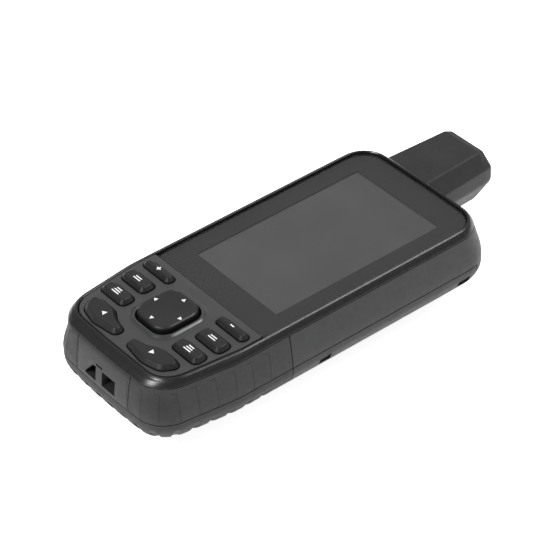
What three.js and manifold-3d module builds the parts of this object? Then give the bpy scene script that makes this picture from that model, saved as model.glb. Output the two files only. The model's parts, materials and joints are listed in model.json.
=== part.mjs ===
// Rugged handheld satellite navigator, lying on its back.
// Millimetres. +X is the right of the screen, +Y points to the antenna, +Z points out of the screen.
// The origin is under the middle of the whole device, on the surface that it lies on.
import * as THREE from "three";
import { mergeVertices } from "three/addons/utils/BufferGeometryUtils.js";
import Module from "manifold-3d";

const wasm = await Module();
wasm.setup();

// ---- driving dimensions -------------------------------------------------------------------------

const GAP = 0.3; // between pieces that touch
const FAR = 200; // longer than the device, for cutting boxes

// Heights above the resting surface.
const Z_BACK = 4.0; // flat back of the rear cover
const Z_SEAM = 17.4; // parting line between the housing and the rear cover
const Z_FLOOR = 19.6; // top of the floor inside the housing
const Z_WALL_TOP = 29.9; // top of the housing wall
const Z_LEDGE = 29.6; // ledge in the bezel that the window and keypad sit over
const Z_GLASS = 31.7; // outer face of the display window
const Z_RIM = 32.4; // top of the bezel rim
const Z_PLATE = 32.5; // top of the keypad plate
const Z_KEY = 34.15; // top of the keys
const Z_TOP = 35; // crown of the rocker

// Outlines seen from the front. w: half width, xB and yB: lower corner, yC: where the sides start to
// draw in, yT: top end, cb and ct: how far the ends bow outward, rB and rT: corner radii.
const WALL = { w: 31, yT: 53.4, ct: 0.6, yC: -52, xB: 27.3, yB: -80.4, cb: 1.1, rB: 10, rT: 10.6 };
const WALL_HIGH = { w: 30.3, yT: 52, ct: 0.6, yC: -51.5, xB: 26.2, yB: -79.4, cb: 1.1, rB: 12.2, rT: 11 };
const WALL_TOP = { w: 29.9, yT: 51.1, ct: 0.5, yC: -51, xB: 25.9, yB: -78.6, cb: 1, rB: 10.8, rT: 10.6 };
const RIM = { w: 28.6, yT: 49.9, ct: 0.4, yC: -48.5, xB: 25.3, yB: -76.2, cb: 0.6, rB: 9.5, rT: 9.4 };
const GROOVE = { w: 27.5, yT: 48.9, ct: 0.4, yC: -47.5, xB: 24.1, yB: -75.1, cb: 0.5, rB: 8.3, rT: 8.2 };

// The body's edge from the flat back up to the wall: [inset from WALL, height]. Above the last of
// these the wall leans in to WALL_HIGH and then to WALL_TOP.
const EDGE_PROFILE = [
  [16, Z_BACK], [12, 4.6], [8.6, 5.8], [4.9, 8], [2.2, 10.7], [0.7, 13.2], [0, 15.6], [0, 19.5],
];
const Z_WALL_HIGH = 26.5;

// Rubber bumper at the lower end.
const Y_BUMPER = -31.2; // its upper edge on both sides
const X_BLOCK = 13.5; // half width of the hard lanyard block between the two bumpers
const SIDE_SKIN = 0.9; // thickness of the rubber round the housing
const REAR_SKIN = 1.5; // and round the rear cover, where it carries the treads
const Y_BLOCK = -72.3; // inner face of the lanyard block

// Lanyard openings on either side of the bar.
const BAR_X = [-3.0, 0.2];
const LANYARD_X = [-8.5, 6.8];
const LANYARD_Z = [19.0, 24.3];
const LANYARD_SLANT = [[-4.6, 24.3], [-8.5, 19.8]]; // the left mouth's slanting side: [x, z]
const BAR_SLIT = { z0: 24.9, z1: 25.6, y: -79.6 };
const BAR_BACK_Y = -78.6; // rear face of the bar, that the cord bears on
const LANYARD_DEEP_Y = -74.2;

// Hollows across the rounded rear edge of the lower end.
const TREAD = { pitch: 6.3, r: 2, length: 12, tilt: 0.85, inset: 2.2, z: 9.2 };
const GRIP = { x: 29.3, z0: 12.2, z1: 14.8, ys: [[-20, -15.4], [38, 43]] }; // finger grips in the cover

const Y_COVER_TOP = 46; // upper end of the rear cover

// Display.
const WINDOW = { w: 27.15, y0: -39.1, y1: 48.55, rLow: 2.6, rTop: 7.85, thick: 1 };
const LCD = { w: 22.3, y0: -31.6, y1: 39.1, z0: 27.8, z1: 30.4 };

// Keys: centre, size, corner radius. The left ones mirror the right ones.
const KEY_GAP = 0.4;
const KEY_ROWS = [
  { left: "key_zoom_in", right: "key_zoom_out", x0: 11.9, x1: 25.5, y0: -46.2, y1: -42.4, r: 1.7 },
  { left: "key_find", right: "key_page", x0: 13.1, x1: 25.2, y0: -55.1, y1: -49.2, r: 2.0 },
  { left: "key_mark", right: "key_menu", x0: 12.3, x1: 24.6, y0: -63.4, y1: -57.8, r: 2.0 },
];
// The two lowest keys wrap round the rocker: corners of the right-hand one with their radii.
const ARC_KEY = [
  [2.6, -72.8, 2.0], [12.5, -74.2, 8], [19.6, -72.6, 4], [23.2, -66.6, 2.0],
  [18.6, -65.6, 2.5], [11.9, -65.7, 5], [8.4, -68.0, 9], [2.6, -69.2, 1.6],
];

// Rocker.
const ROCKER = { y: -54.8, w: 7.7, h: 8.4, r: 4.6, ringIn: 0.9, ringW: 10.4, ringH: 11.0, ringR: 6 };

// Antenna: eight-sided stub, left of centre, narrowing to its tip.
const ANT = {
  x: -12.1, y0: 51.2, y1: 81.5, wBase: 14, wTip: 12.2, flatTop: 0.7, flatUnder: 0.52,
  zTop: 28.4, zHigh: 22.9, zLow: 17.4, zBottom: 7.6, wall: 1.8, tipBevel: 2.6, neckY: 46.8,
};

// Things set into the walls.
const POWER = { y0: 22, y1: 33, z0: 21.8, z1: 25.8, face: -30.95, wall: -27.4, lip: 0.9 };
const TORCH = { x: 11, z: 25, r: 2.55, y0: 50.2, y1: 52.4 };
const CAP = { x0: 4.6, x1: 17.4, y0: 52.1, y1: 53.7, z0: 14.4, z1: 20.6 }; // weather cap
const USB = { x0: 7.2, x1: 14.8, y0: 48.2, y1: 51.6, z0: 15.8, z1: 18.6, wall: 0.4 };

// Inside.
const DOMES = { w: 20.8, y0: -71.2, y1: -41.5, z0: 27.3, z1: 27.55, high: 0.5, rTop: 1.2, rFoot: 2 };
const KEY_BOARD = { w: 20.8, y0: -71.5, y1: -41.3, z0: 26.2, z1: 27 };
const BOARD = { inset: 4, y1: 46, z0: 23, z1: 24.2 };
const CAN = { z0: 24.5, z1: 26.4, wall: 0.3 };
const BATTERY = { w: 20, y: 36, z0: 10.2, z1: 16.8 };
const CARD = { x0: -19.5, x1: -8.7, y0: -61, y1: -47.2, z0: 15.85, z1: 16.35 };
const SEAL = { from: 3.6, to: 4.8, z0: 16.2, z1: 17.1, y1: 39.5 };

// Screws.
const CASE_SCREW = { x: 23.9, yTop: 42.4, yLow: -50, z: 15.6, length: 6, bore: 1.3, post: 2.3 };
const SPINE_SCREW = { fromEnd: 6, z: 0.6, length: 6, bore: 1.3, sink: 2.7 };

// Back.
const SPINE = { w: 11, y0: -20, y1: 41, neck: 7.4, lip: 1.9 };
const LATCH = { y: -47, r: 9.5, shank: 3, z0: 2.7 };
const RING = { pivotY: -42.6, arm: 4.6, reach: 8.6, wire: 0.85, z: 1.25 };

// ---- colours ------------------------------------------------------------------------------------

const LOOK = {
  shell: [0x2b2c2d, 0.62, 0],
  bezel: [0x1b1c1d, 0.3, 0],
  plate: [0x2a2b2c, 0.55, 0],
  key: [0x2c2d2e, 0.5, 0],
  rubber: [0x2f3030, 0.85, 0],
  clear: [0x222426, 0.08, 0],
  screen: [0x4b4d4e, 0.25, 0],
  board: [0x14502e, 0.5, 0],
  metal: [0xb4b6b8, 0.3, 1],
  black: [0x151515, 0.5, 0],
  battery: [0x3a4a63, 0.45, 0],
  ceramic: [0xcfc8b8, 0.6, 0],
  silicone: [0x4a4a4a, 0.8, 0],
};

// ---- shape helpers ------------------------------------------------------------------------------

// A closed outline of straight sides and round corners. Each corner is [x, y, radius, steps], where the
// steps are worked out from the angle if they are left out.
function rounded(corners, steps = 5) {
  const points = [];
  const n = corners.length;
  corners.forEach(([x, y, r, fixed], i) => {
    const [px, py] = corners[(i + n - 1) % n];
    const [qx, qy] = corners[(i + 1) % n];
    const here = new THREE.Vector2(x, y);
    if (!r) return points.push(here);
    const back = new THREE.Vector2(px, py).sub(here).normalize();
    const on = new THREE.Vector2(qx, qy).sub(here).normalize();
    const half = Math.acos(THREE.MathUtils.clamp(back.dot(on), -1, 1)) / 2;
    const centre = back.clone().add(on).normalize().multiplyScalar(r / Math.sin(half)).add(here);
    const first = here.clone().addScaledVector(back, r / Math.tan(half)).sub(centre);
    const turn = (Math.PI - 2 * half) * Math.sign(on.cross(back));
    const count = fixed ?? Math.max(1, Math.round((steps * Math.abs(turn)) / (Math.PI / 2)));
    for (let k = 0; k <= count; k++) {
      const c = Math.cos((turn * k) / count);
      const s = Math.sin((turn * k) / count);
      points.push(new THREE.Vector2(
        centre.x + first.x * c - first.y * s,
        centre.y + first.x * s + first.y * c,
      ));
    }
  });
  return points;
}

// The device's outline from one of the tables above, always with the same number of points.
function outline(o) {
  const half = [[o.xB, o.yB, o.rB, 6], [o.w, o.yC, 40, 1], [o.w, o.yT, o.rT, 6]];
  const mirrored = half.map(([x, y, r, n]) => [-x, y, r, n]).reverse();
  return rounded([[0, o.yB - o.cb, 0], ...half, [0, o.yT + o.ct, 0], ...mirrored]);
}

function inset(o, d) {
  return {
    ...o, w: o.w - d, xB: o.xB - d, yB: o.yB + d, yT: o.yT - d,
    rB: Math.max(o.rB - 0.7 * d, 2.5), rT: Math.max(o.rT - 0.7 * d, 2.5),
  };
}

function between(a, b, t) {
  return Object.fromEntries(Object.keys(a).map((k) => [k, a[k] + (b[k] - a[k]) * t]));
}

// Moves a closed, anticlockwise outline outward by d, or inward where d is negative.
function grow(points, d) {
  const n = points.length;
  return points.map((p, i) => {
    const a = points[(i + n - 1) % n];
    const b = points[(i + 1) % n];
    const u = p.clone().sub(a).normalize();
    const v = b.clone().sub(p).normalize();
    const normal = new THREE.Vector2(u.y + v.y, -u.x - v.x).normalize();
    const lean = Math.max(0.5, normal.dot(new THREE.Vector2(u.y, -u.x)));
    return p.clone().addScaledVector(normal, d / lean);
  });
}

const at = (points, z) => points.map((p) => [p.x, p.y, z]);

// A solid through rings of equally many points. With closed = true the last ring joins the first.
function loft(rings, closed = false) {
  const n = rings[0].length;
  const position = rings.flat(2);
  const index = [];
  const bands = closed ? rings.length : rings.length - 1;
  for (let r = 0; r < bands; r++)
    for (let i = 0; i < n; i++) {
      const a = r * n + i;
      const b = r * n + ((i + 1) % n);
      const c = ((r + 1) % rings.length) * n + i;
      const d = ((r + 1) % rings.length) * n + ((i + 1) % n);
      index.push(a, b, d, a, d, c);
    }
  if (!closed) {
    const cap = (r, flip) => {
      const ring = rings[r];
      const flat = ring.map(([x, y, z]) => (ring.alongY ? new THREE.Vector2(x, z) : new THREE.Vector2(x, y)));
      for (const [a, b, c] of THREE.ShapeUtils.triangulateShape(flat, []))
        index.push(...(flip ? [r * n + c, r * n + b, r * n + a] : [r * n + a, r * n + b, r * n + c]));
    };
    cap(0, true);
    cap(rings.length - 1, false);
  }
  return facingOut(position, index);
}

function facingOut(position, index) {
  let volume = 0;
  const v = (k) => new THREE.Vector3().fromArray(position, index[k] * 3);
  for (let i = 0; i < index.length; i += 3) volume += v(i).dot(v(i + 1).cross(v(i + 2)));
  if (volume < 0)
    for (let i = 0; i < index.length; i += 3) [index[i], index[i + 1]] = [index[i + 1], index[i]];
  const g = new THREE.BufferGeometry();
  g.setAttribute("position", new THREE.Float32BufferAttribute(position, 3));
  g.setIndex(index);
  return g;
}

function prism(points, z0, z1, holes = []) {
  const shape = new THREE.Shape(points);
  shape.holes = holes.map((h) => new THREE.Path(h));
  return new THREE.ExtrudeGeometry(shape, { depth: z1 - z0, bevelEnabled: false }).translate(0, 0, z0);
}

// The same, for a shape drawn in X and Z and running along Y.
function alongY(points, y0, y1) {
  const shape = new THREE.Shape(points.map(([x, z]) => new THREE.Vector2(x, z)));
  const g = new THREE.ExtrudeGeometry(shape, { depth: y1 - y0, bevelEnabled: false });
  return g.rotateX(Math.PI / 2).translate(0, y1, 0);
}

function block(x0, x1, y0, y1, z0, z1) {
  return new THREE.BoxGeometry(x1 - x0, y1 - y0, z1 - z0)
    .translate((x0 + x1) / 2, (y0 + y1) / 2, (z0 + z1) / 2);
}

// A round bar along Z, or turned to lie along X or Y, given its middle.
function bar(radius, length, [x, y, z], along = "z", sides = 16) {
  const g = new THREE.CylinderGeometry(radius, radius, length, sides);
  if (along === "z") g.rotateX(Math.PI / 2);
  if (along === "x") g.rotateZ(Math.PI / 2);
  return g.translate(x, y, z);
}

const box4 = (x0, x1, y0, y1, r) => rounded([[x0, y0, r], [x1, y0, r], [x1, y1, r], [x0, y1, r]]);
const mirror = (points) => points.map((p) => new THREE.Vector2(-p.x, p.y)).reverse();

// ---- joining and cutting ------------------------------------------------------------------------

function solid(geometry) {
  const bare = geometry.clone();
  bare.deleteAttribute("normal");
  bare.deleteAttribute("uv");
  const merged = mergeVertices(bare, 1e-4);
  return new wasm.Manifold(new wasm.Mesh({
    numProp: 3,
    vertProperties: merged.attributes.position.array,
    triVerts: new Uint32Array(merged.index.array),
  }));
}

function geometryOf(manifold) {
  const mesh = manifold.getMesh();
  const g = new THREE.BufferGeometry();
  g.setAttribute("position", new THREE.BufferAttribute(mesh.vertProperties, 3));
  g.setIndex(new THREE.BufferAttribute(mesh.triVerts, 1));
  return g;
}

const cut = (g, ...tools) => geometryOf(tools.reduce((m, t) => m.subtract(solid(t)), solid(g)));
const join = (g, ...more) => geometryOf(more.reduce((m, t) => m.add(solid(t)), solid(g)));
const keep = (g, ...tools) => geometryOf(tools.reduce((m, t) => m.intersect(solid(t)), solid(g)));

// ---- the body's outer shape ---------------------------------------------------------------------

// The lower end curves under more slowly than the sides do.
const fullerEnd = (o, under) => ({ ...o, yB: o.yB - 0.28 * under, rB: o.rB + 0.5 * under });

// The solid of the whole body below the bezel, drawn in by `skin` all over.
function bodyShape(skin = 0) {
  const profile = EDGE_PROFILE.map(([d, z], i, all) => {
    const [d0, z0] = i ? all[i - 1] : [d + 1, z];
    const [d1, z1] = i < all.length - 1 ? all[i + 1] : [d, z + 1];
    const u = new THREE.Vector2(d - d0, z - z0).normalize();
    const v = new THREE.Vector2(d1 - d, z1 - z).normalize();
    const inward = new THREE.Vector2(u.y + v.y, -u.x - v.x).normalize();
    return [d + skin * inward.x, z + skin * inward.y, d];
  });
  const rings = profile.map(([d, z, under]) => at(outline(fullerEnd(inset(WALL, d), under)), z));
  rings.push(at(outline(inset(WALL_HIGH, skin)), Z_WALL_HIGH));
  rings.push(at(outline(inset(WALL_TOP, skin)), Z_WALL_TOP));
  return loft(rings);
}

const CAVITY = { ...inset(WALL, 2.9), yT: 49.5, yB: -76.8 };
const FLANGE = { ...inset(WALL_TOP, 2.2), yB: -76.5 };
const frontCavity = prism(outline(CAVITY), Z_FLOOR, Z_TOP);
const belowSeam = (gap) => block(-FAR, FAR, -FAR, Y_COVER_TOP + gap, -FAR, Z_SEAM + gap / 2);
const lowerEnd = (gap) => block(-FAR, FAR, -FAR, Y_BUMPER + gap, -FAR, FAR);

// The rubber's share of the body: its outer skin below Y_BUMPER, between the block and the back.
function bumperZone(skin, gap) {
  const shell = cut(bodyShape(-1), bodyShape(skin + gap));
  const high = cut(shell, block(-X_BLOCK + gap, X_BLOCK - gap, -FAR, FAR, Z_SEAM, FAR));
  const flatBack = prism(box4(-15 + gap, 15 - gap, -64 + gap, 0, 5), -FAR, Z_SEAM - 2);
  return cut(keep(high, lowerEnd(gap)), flatBack);
}

// ---- case ---------------------------------------------------------------------------------------

function screwPlaces() {
  const { x, yTop, yLow } = CASE_SCREW;
  return [[x, yTop], [-x, yTop], [x, yLow], [-x, yLow]];
}

function antennaRing(y, half, drawIn = 0, sideIn = drawIn) {
  const w = half - sideIn;
  const under = half * ANT.flatUnder - drawIn * 0.45;
  const over = half * ANT.flatTop - drawIn * 0.9;
  const points = [
    [under, ANT.zBottom + drawIn], [w, ANT.zLow], [w, ANT.zHigh], [over, ANT.zTop - drawIn],
    [-over, ANT.zTop - drawIn], [-w, ANT.zHigh], [-w, ANT.zLow], [-under, ANT.zBottom + drawIn],
  ];
  const ring = rounded(points.map(([x, z]) => [ANT.x + x, z, 1.4, 2])).map((p) => [p.x, y, p.y]);
  ring.alongY = true;
  return ring;
}

function antennaHousing() {
  const outer = loft([
    antennaRing(ANT.y0, ANT.wBase),
    antennaRing(ANT.y1 - 3.6, ANT.wTip),
    antennaRing(ANT.y1 - 1.2, ANT.wTip, 0.8, 0.4),
    antennaRing(ANT.y1, ANT.wTip, ANT.tipBevel, ANT.tipBevel / 2),
  ]);
  const inner = loft([
    antennaRing(ANT.y0 - 1, ANT.wBase, ANT.wall),
    antennaRing(ANT.y1 - 2.6, ANT.wTip, ANT.wall),
  ]);
  return cut(outer, inner);
}

function midHousing() {
  const neck = loft([antennaRing(ANT.neckY, ANT.wBase), antennaRing(ANT.y0 - GAP, ANT.wBase)]);
  const antennaSeat = loft([
    antennaRing(ANT.y0 - GAP, ANT.wBase, -GAP),
    antennaRing(ANT.y0 + 12, ANT.wBase, -GAP),
  ]);
  const holes = screwPlaces().map(([x, y]) => bar(CASE_SCREW.bore, 6, [x, y, Z_FLOOR - 1], "z", 12));
  return cut(
    join(bodyShape(), neck), belowSeam(GAP), frontCavity, bumperZone(SIDE_SKIN, GAP), antennaSeat,
    block(-X_BLOCK, X_BLOCK, -FAR, Y_BLOCK + GAP, Z_SEAM - 1, FAR), // place for the lanyard block
    block(-FAR, POWER.wall + 0.4, POWER.y0 - 0.4, POWER.y1 + 0.4, POWER.z0 - 0.4, POWER.z1 + 0.4),
    bar(TORCH.r + 0.35, 12, [TORCH.x, TORCH.y1 + 1.6, TORCH.z], "y"),
    block(CAP.x0 - 0.4, CAP.x1 + 0.4, CAP.y0 - GAP, FAR, CAP.z0 - 0.4, CAP.z1 + 0.4),
    block(USB.x0 - 0.8, USB.x1 + 0.8, USB.y0 - GAP, FAR, USB.z0 - 0.4, USB.z1 + 0.4),
    block(-16, -9, 45, 53, 20.6, 24), // antenna lead
    ...holes,
  );
}

function lanyardBlock() {
  const own = keep(bodyShape(), block(-X_BLOCK + GAP, X_BLOCK - GAP, -FAR, Y_BLOCK, Z_SEAM + GAP / 2, FAR));
  const throat = block(LANYARD_X[0], LANYARD_X[1], BAR_BACK_Y, LANYARD_DEEP_Y, ...LANYARD_Z);
  const low = LANYARD_Z[0];
  const leftShape = [[LANYARD_X[0], low], [BAR_X[0], low], [BAR_X[0], LANYARD_Z[1]], ...LANYARD_SLANT];
  const leftMouth = alongY(leftShape, -FAR, LANYARD_DEEP_Y);
  const rightMouth = block(BAR_X[1], LANYARD_X[1], -FAR, LANYARD_DEEP_Y, ...LANYARD_Z);
  const underBezel = prism(outline(CAVITY), 26.8, Z_TOP);
  const slit = block(...BAR_X, -FAR, BAR_SLIT.y, BAR_SLIT.z0, BAR_SLIT.z1);
  return cut(own, throat, leftMouth, rightMouth, underBezel, slit);
}

function sideBumper(side) {
  const [x0, x1] = side > 0 ? [0, FAR] : [-FAR, 0];
  const own = block(x0, x1, -FAR, FAR, Z_SEAM + GAP / 2, FAR);
  return keep(bumperZone(SIDE_SKIN, 0), bodyShape(), own);
}

function frontBezel() {
  const ring = loft([
    at(outline(WALL_TOP), Z_WALL_TOP + GAP),
    at(outline(between(WALL_TOP, RIM, 0.5)), 31.3),
    at(outline(RIM), 32.1),
    at(outline(inset(RIM, 0.3)), Z_RIM),
    at(outline(inset(GROOVE, -0.4)), Z_RIM),
    at(outline(GROOVE), 32.1),
    at(outline(GROOVE), 30.6),
    at(outline(inset(GROOVE, 0.5)), 30.6),
    at(outline(inset(GROOVE, 0.5)), Z_LEDGE),
    at(outline(inset(GROOVE, 2.2)), Z_LEDGE),
    at(outline(inset(GROOVE, 2.2)), Z_LEDGE - 1),
    at(outline(FLANGE), Z_LEDGE - 1),
    at(outline(FLANGE), Z_WALL_TOP + GAP),
  ], true);
  const crossBar = block(-25.6, 25.6, -40.2, -36.6, Z_LEDGE - 1, Z_LEDGE);
  const posts = screwPlaces().map(([x, y]) => bar(CASE_SCREW.post, 9.2, [x, y, Z_LEDGE - 5], "z", 12));
  const bores = screwPlaces().map(([x, y]) => bar(CASE_SCREW.bore, 6, [x, y, 22.5], "z", 12));
  return cut(join(ring, crossBar, ...posts), ...bores);
}

// ---- display ------------------------------------------------------------------------------------

function windowOutline(d = 0) {
  const { w, y0, y1, rLow, rTop } = WINDOW;
  return rounded([
    [-w + d, y0 + d, rLow], [w - d, y0 + d, rLow], [w - d, y1 - d, Math.max(rTop - d, 2)],
    [0, y1 + GROOVE.ct - d, 0], [-w + d, y1 - d, Math.max(rTop - d, 2)],
  ], 6);
}

function lcdFrame() {
  const outer = prism(box4(-LCD.w - 0.8, LCD.w + 0.8, LCD.y0 - 0.8, LCD.y1 + 0.8, 1), 27, 29);
  const inner = prism(box4(-LCD.w - 0.35, LCD.w + 0.35, LCD.y0 - 0.35, LCD.y1 + 0.35, 0.8), 27.5, 30);
  return cut(outer, inner);
}

// ---- keypad -------------------------------------------------------------------------------------

function keyOutlines() {
  const all = {};
  for (const { left, right, x0, x1, y0, y1, r } of KEY_ROWS) {
    all[right] = box4(x0, x1, y0, y1, r);
    all[left] = mirror(all[right]);
  }
  all.key_enter = rounded(ARC_KEY, 5);
  all.key_quit = mirror(all.key_enter);
  return all;
}

function keyCap(shape) {
  return loft([
    at(grow(shape, -1.5), 29.75),
    at(grow(shape, -1.5), 30.6),
    at(shape, 30.6),
    at(shape, 33.0),
    at(grow(shape, -0.25), 33.6),
    at(grow(shape, -0.9), Z_KEY),
  ]);
}

const rockerOutline = (w, h, r) => box4(-w, w, ROCKER.y - h, ROCKER.y + h, r);

// The plate with its openings, its skirt down to the bezel's ledge, and the raised lip round the rocker.
function keypadPlate() {
  const openings = Object.values(keyOutlines()).map((k) => grow(k, KEY_GAP));
  openings.push(rockerOutline(ROCKER.w + ROCKER.ringIn, ROCKER.h + ROCKER.ringIn, ROCKER.r + 0.6));
  const plate = prism(outline(inset(GROOVE, 0.35)), 31, Z_PLATE);
  const skirt = prism(outline(inset(GROOVE, 0.85)), 29.9, 31.2, [outline(inset(GROOVE, 1.6))]);
  const region = block(-FAR, FAR, -FAR, WINDOW.y0 - 0.35, 0, FAR);
  const whole = join(keep(join(plate, skirt), region), rockerLip());
  return cut(whole, ...openings.map((o) => prism(o, 29, 40)));
}

function rockerLip() {
  const { w, h, r, ringIn, ringW, ringH, ringR } = ROCKER;
  const inner = rockerOutline(w + ringIn - 0.3, h + ringIn - 0.3, r + 0.3);
  const outer = rockerOutline(ringW, ringH, ringR);
  const crest = rockerOutline(w + ringIn + 0.3, h + ringIn + 0.3, r + 0.8);
  return loft([at(outer, 31.6), at(outer, Z_PLATE), at(crest, 33.2), at(inner, 33.1), at(inner, 31.6)], true);
}

function rockerPad() {
  const { w, h, r } = ROCKER;
  return loft([
    at(rockerOutline(w - 0.6, h - 0.6, r - 0.4), 30.5),
    at(rockerOutline(w, h, r), 31.6),
    at(rockerOutline(w, h, r), 33.9),
    at(rockerOutline(w - 0.4, h - 0.4, r - 0.2), 34.7),
    at(rockerOutline(w - 1.3, h - 1.3, r - 0.8), Z_TOP),
    at(rockerOutline(w - 3.6, h - 3.6, r - 2.2), 34.6),
  ]);
}

function domeSheet() {
  const { w, y0, y1, z0, z1, high, rTop, rFoot } = DOMES;
  const dome = (x, y) => new THREE.CylinderGeometry(rTop, rFoot, high, 10)
    .rotateX(Math.PI / 2)
    .translate(x, y, z1 + high / 2 - 0.05);
  const underKeys = Object.values(keyOutlines()).map((shape) => {
    const c = new THREE.Box2().setFromPoints(shape).getCenter(new THREE.Vector2());
    return dome(c.x, c.y);
  });
  const reach = 6; // from the rocker's centre to its four domes
  const underRocker = [[0, reach], [0, -reach], [reach, 0], [-reach, 0]]
    .map(([x, y]) => dome(x, ROCKER.y + y));
  return join(block(-w, w, y0, y1, z0, z1), ...underKeys, ...underRocker);
}

function keypadMembrane() {
  const low = outline(inset(GROOVE, 2.6));
  const sheet = keep(prism(low, 28.2, 29), block(-FAR, FAR, -FAR, -40.6, 0, FAR));
  const posts = screwPlaces().map(([x, y]) => bar(2.6, 6, [x, y, 28], "z", 12));
  return cut(sheet, prism(rockerOutline(3.2, 3.2, 1), 27, 30), ...posts);
}

// ---- electronics --------------------------------------------------------------------------------

function mainBoard() {
  const sheet = prism(outline(inset(WALL, BOARD.inset)), BOARD.z0, BOARD.z1);
  const board = keep(sheet, block(-FAR, FAR, Y_BLOCK + 1, BOARD.y1, 0, FAR));
  const keyRoom = block(-FAR, POWER.wall + 1, POWER.y0 - 1.6, POWER.y1 + 1.6, 20, 26);
  const posts = screwPlaces().map(([x, y]) => bar(CASE_SCREW.post + 0.5, 6, [x, y, BOARD.z0], "z", 12));
  return cut(board, keyRoom, ...posts);
}

function shieldCan(x0, x1, y0, y1) {
  const { z0, z1, wall } = CAN;
  const hollow = block(x0 + wall, x1 - wall, y0 + wall, y1 - wall, z0 - 0.5, z1 - wall);
  return cut(block(x0, x1, y0, y1, z0, z1), hollow);
}

function powerKey() {
  const { y0, y1, z0, z1, face, wall, lip } = POWER;
  const cap = block(face, wall, y0, y1, z0, z1);
  return join(cap, block(wall - 0.4, wall + 0.3, y0 - lip, y1 + lip, z0 - lip, z1 + lip));
}

function torchLens() {
  const { x, z, r, y0, y1 } = TORCH;
  return bar(r, y1 - y0, [x, (y0 + y1) / 2, z], "y");
}

function usbSocket() {
  const { x0, x1, y0, y1, z0, z1, wall } = USB;
  const mouth = block(x0 + wall, x1 - wall, y0 + 0.8, y1 + 1, z0 + wall, z1 - wall);
  const middle = (z0 + z1) / 2;
  const tongue = block(x0 + 1.6, x1 - 1.6, y0 + 0.4, y1 - wall, middle - 0.3, middle + 0.3);
  return join(cut(block(x0, x1, y0, y1, z0, z1), mouth), tongue);
}

function usbCap() {
  const { x0, x1, y0, y1, z0, z1 } = CAP;
  const plug = block(USB.x0, USB.x1, y0 - 0.2, y0 + 0.2, USB.z0 + 0.1, USB.z1 - 0.2);
  return join(block(x0, x1, y0, y1, z0, z1), plug);
}

function cardSocket() {
  const { x0, x1, y0, y1, z0, z1 } = CARD;
  const slot = block(x0 - GAP, x1 + GAP, -FAR, y1 + 0.8, z0 - 0.25, z1 + 0.25);
  return cut(block(x0 - 1.8, x1 + 1.7, y0 - 1, y1 + 1.6, z0 - 0.65, z1 + 0.65), slot);
}

// ---- back ---------------------------------------------------------------------------------------

function rearCover() {
  const outer = keep(bodyShape(), block(-FAR, FAR, -FAR, Y_COVER_TOP, -FAR, Z_SEAM - GAP / 2));
  const cavity = keep(bodyShape(3.2), block(-FAR, FAR, -FAR, Y_COVER_TOP - 1.4, -FAR, FAR));
  const shaft = bar(LATCH.shank + 0.35, 20, [0, LATCH.y, 8]);
  const grips = GRIP.ys.flatMap(([y0, y1]) => [
    block(GRIP.x, FAR, y0, y1, GRIP.z0, GRIP.z1),
    block(-FAR, -GRIP.x, y0, y1, GRIP.z0, GRIP.z1),
  ]);
  return cut(outer, cavity, shaft, bumperZone(REAR_SKIN, GAP), ...grips, ...spineScrewHoles());
}

function spineScrewPlaces() {
  return [SPINE.y0 + SPINE_SCREW.fromEnd, SPINE.y1 - SPINE_SCREW.fromEnd];
}

function spineScrewHoles() {
  return spineScrewPlaces().map((y) => bar(SPINE_SCREW.bore, 8, [0, y, 5], "z", 12));
}

// The rear rubber: the bumper's share under the seam, with tread grooves across its rounded edge.
function rearBumper() {
  const own = block(-FAR, FAR, -FAR, FAR, -FAR, Z_SEAM - GAP / 2);
  const skin = keep(bumperZone(REAR_SKIN, 0), bodyShape(), own);
  return cut(skin, ...treadGrooves());
}

function treadGrooves() {
  const lower = outline(inset(WALL, TREAD.inset)).filter((p) => p.y < Y_BUMPER - 2 && p.x >= 0);
  const right = lower.sort((a, b) => Math.atan2(a.y + 50, a.x) - Math.atan2(b.y + 50, b.x));
  const path = new THREE.CurvePath();
  for (let i = 0; i < right.length - 1; i++) path.add(new THREE.LineCurve(right[i], right[i + 1]));
  const count = Math.floor(path.getLength() / TREAD.pitch);
  const grooves = [];
  for (let k = 0; k < count; k++) {
    const t = ((k + 0.5) * TREAD.pitch) / path.getLength();
    const p = path.getPointAt(t);
    const on = path.getTangentAt(t);
    for (const side of [1, -1]) {
      const groove = new THREE.CylinderGeometry(TREAD.r, TREAD.r, TREAD.length, 10);
      groove.rotateZ(Math.PI / 2).rotateY(-TREAD.tilt);
      groove.rotateZ(Math.atan2(-on.x, on.y * side));
      grooves.push(groove.translate(p.x * side, p.y, TREAD.z));
    }
  }
  return grooves;
}

function coverSeal() {
  const { from, to, z0, z1, y1 } = SEAL;
  const outer = outline(inset(WALL, from));
  const inner = outline(inset(WALL, to));
  const ring = loft([at(outer, z0), at(outer, z1), at(inner, z1), at(inner, z0)], true);
  return cut(ring, block(-FAR, FAR, y1, FAR, 0, FAR));
}

function mountSpine() {
  const { w, y0, y1, neck, lip } = SPINE;
  const top = Z_BACK - GAP;
  const foot = prism(box4(-w, w, y0, y1, 2.4), 0, lip);
  const stem = prism(box4(-neck, neck, y0 + 1.2, y1 - 1.2, 1.6), lip - 0.4, top);
  const heads = spineScrewPlaces().map((y) => bar(SPINE_SCREW.sink, 4, [0, y, 0.4], "z", 14));
  return cut(join(foot, stem), ...heads, ...spineScrewHoles());
}

// A screw pointing up, its head's lower face at zHead.
function screw(x, y, zHead, length) {
  const headHeight = 1.4;
  const head = bar(2, headHeight, [x, y, zHead + headHeight / 2], "z", 12);
  const shank = bar(0.95, length, [x, y, zHead + headHeight - 0.2 + length / 2], "z", 10);
  const socket = bar(1, 0.8, [x, y, zHead + 0.2], "z", 6);
  return cut(join(head, shank), socket);
}

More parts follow.
